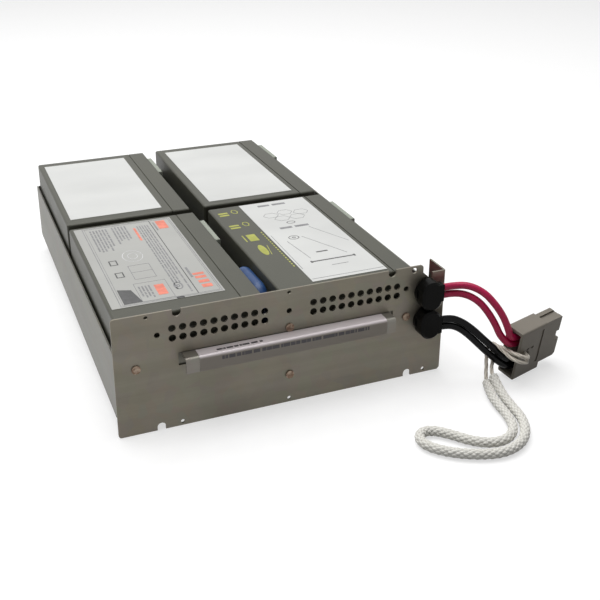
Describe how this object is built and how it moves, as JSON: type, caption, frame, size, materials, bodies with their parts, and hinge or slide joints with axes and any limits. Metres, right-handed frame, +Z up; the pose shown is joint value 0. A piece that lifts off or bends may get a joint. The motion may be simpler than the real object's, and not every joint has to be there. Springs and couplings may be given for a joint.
{
  "type": "ups battery cartridge",
  "caption": "Slide-in battery pack for an uninterruptible power supply: sealed batteries on a folded steel tray with a vented front panel, pull handle and plug-ended leads",
  "frame": {"origin": "centre of the tray and panel's footprint, on the surface that the front panel stands on", "axes": "+X to the right seen from the front, +Y from the front panel to the rear, +Z up"},
  "size_m": [0.3028, 0.4197, 0.0814],
  "materials": {
    "galvanised_steel": "zinc-coated sheet, dull grey",
    "handle_steel": "bright sheet",
    "handle_film": "silver film",
    "rivet_steel": "plated steel",
    "battery_case": "dark grey moulded ABS",
    "battery_lid": "dark grey moulded ABS",
    "label_white": "white film",
    "label_silver": "silver-grey film",
    "spacer_foam": "pale grey-green foam",
    "terminal_metal": "tinned brass",
    "boot_black": "black nylon",
    "strain_relief": "black nylon, slightly glossy",
    "lead_red": "red insulation",
    "lead_black": "black insulation",
    "lead_blue": "blue insulation",
    "connector_grey": "grey moulded polycarbonate",
    "contact_silver": "silver-plated copper",
    "rope_white": "braided off-white cord",
    "strand_beige": "thin beige cord"
  },
  "bodies": {
    "root": {"black_lead_left": "lead_black", "black_lead_lower": "lead_black", "black_lead_right": "lead_black", "black_lead_upper": "lead_black", "blue_link_left": "lead_blue", "blue_link_right": "lead_blue", "blue_sleeve": "lead_blue", "connector_contacts": "contact_silver", "connector_housing": "connector_grey", "front_left_case": "battery_case", "front_left_label": "label_silver", "front_left_lid": "battery_lid", "front_left_spacer_pad": "spacer_foam", "front_left_terminals": "terminal_metal", "front_left_vent_cover": "battery_lid", "front_panel": "galvanised_steel", "front_right_case": "battery_case", "front_right_label": "label_white", "front_right_lid": "battery_lid", "front_right_spacer_pad": "spacer_foam", "front_right_terminals": "terminal_metal", "front_right_vent_cover": "battery_lid", "handle_band": "handle_film", "lower_strain_relief": "strain_relief", "panel_rivets": "rivet_steel", "pull_handle": "handle_steel", "pull_rope": "rope_white", "pull_strand_lower": "strand_beige", "pull_strand_upper": "strand_beige", "rear_left_case": "battery_case", "rear_left_label": "label_white", "rear_left_lid": "battery_lid", "rear_left_spacer_pad": "spacer_foam", "rear_left_terminals": "terminal_metal", "rear_left_vent_cover": "battery_lid", "rear_right_case": "battery_case", "rear_right_label": "label_white", "rear_right_lid": "battery_lid", "rear_right_spacer_pad": "spacer_foam", "rear_right_terminals": "terminal_metal", "rear_right_vent_cover": "battery_lid", "red_lead_left": "lead_red", "red_lead_lower": "lead_red", "red_lead_right": "lead_red", "red_lead_upper": "lead_red", "terminal_boots": "boot_black", "tray": "galvanised_steel", "upper_strain_relief": "strain_relief"}
  },
  "joints": []
}
